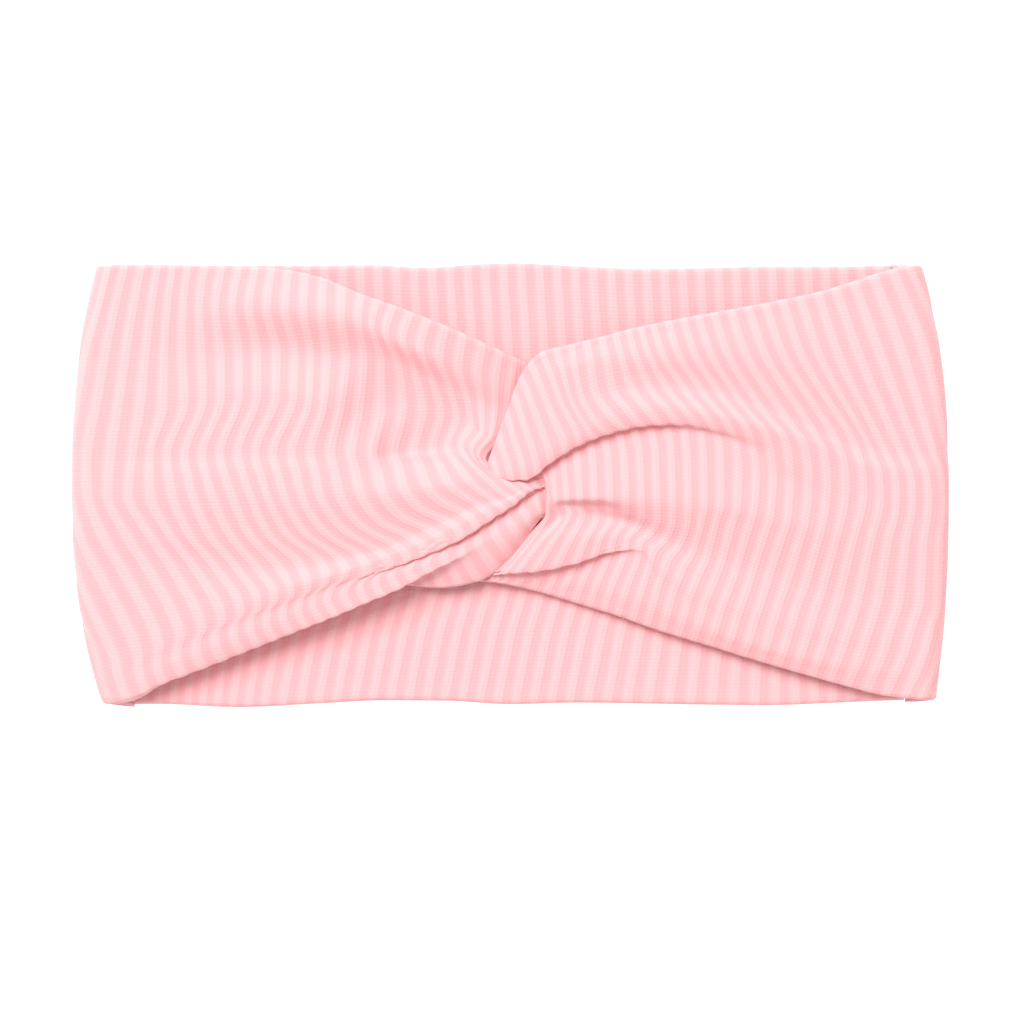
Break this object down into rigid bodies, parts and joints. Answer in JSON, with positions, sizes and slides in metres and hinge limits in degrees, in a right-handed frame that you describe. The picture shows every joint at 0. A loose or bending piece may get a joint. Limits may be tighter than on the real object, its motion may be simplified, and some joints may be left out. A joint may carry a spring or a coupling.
{
  "type": "sports headband",
  "caption": "Wide rib-knit sports headband with a crossed front twist, double-ply cloth, lying flat on its back.",
  "frame": {"origin": "middle of the footprint, on the face that the flat band lies on", "axes": "+X along the flat band towards the picture's right, +Y up the band's width, +Z out through the twist"},
  "size_m": [0.2298, 0.1166, 0.0147],
  "materials": {
    "rib_knit_face": "baby pink wide-rib cotton and elastane jersey, matt, soft hand",
    "rib_knit_lining": "the same rib jersey, inner ply, matt",
    "sewing_thread": "matched spun polyester overlock thread, slight sheen"
  },
  "bodies": {
    "root": {"back_panel_face": "rib_knit_face", "back_panel_lining": "rib_knit_lining", "back_panel_top_seam": "sewing_thread", "back_panel_bottom_seam": "sewing_thread", "left_wing_face": "rib_knit_face", "left_wing_lining": "rib_knit_lining", "left_wing_top_seam": "sewing_thread", "left_wing_bottom_seam": "sewing_thread", "left_side_seam": "sewing_thread", "right_wing_face": "rib_knit_face", "right_wing_lining": "rib_knit_lining", "right_wing_top_seam": "sewing_thread", "right_wing_bottom_seam": "sewing_thread", "right_side_seam": "sewing_thread", "twist_seam": "sewing_thread"}
  },
  "joints": []
}
